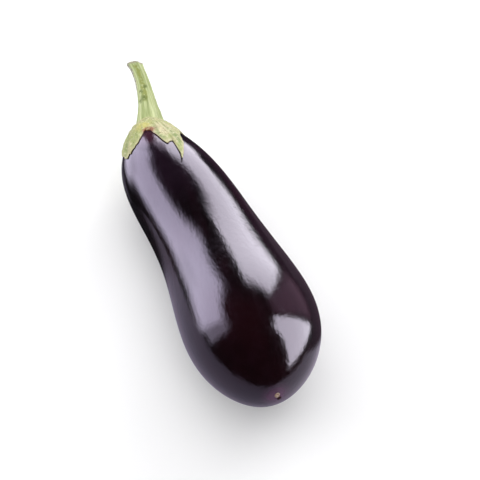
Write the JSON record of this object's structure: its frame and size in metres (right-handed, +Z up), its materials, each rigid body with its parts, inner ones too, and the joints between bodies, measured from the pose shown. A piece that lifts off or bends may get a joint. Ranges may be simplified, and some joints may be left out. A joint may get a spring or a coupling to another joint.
{
  "type": "eggplant",
  "caption": "Whole purple eggplant as picked, lying on its side: a pear-shaped glossy fruit with a lobed green calyx and a ribbed, cut stem.",
  "frame": {"origin": "bottom centre of the bounding box, on the surface that the eggplant rests on", "axes": "+Y along the fruit from its blossom end to its stem end, +Z up, +X to the right seen from the blossom end"},
  "size_m": [0.0885, 0.2739, 0.0901],
  "materials": {
    "fruit_skin": "glossy, smooth aubergine skin, almost black with a red-violet cast",
    "calyx_green": "matte, leathery yellow-green going to beige",
    "stem_green": "matte, ribbed, pale green with a dry brown cut end"
  },
  "bodies": {
    "root": {"fruit": "fruit_skin", "calyx": "calyx_green", "stem": "stem_green"}
  },
  "joints": []
}
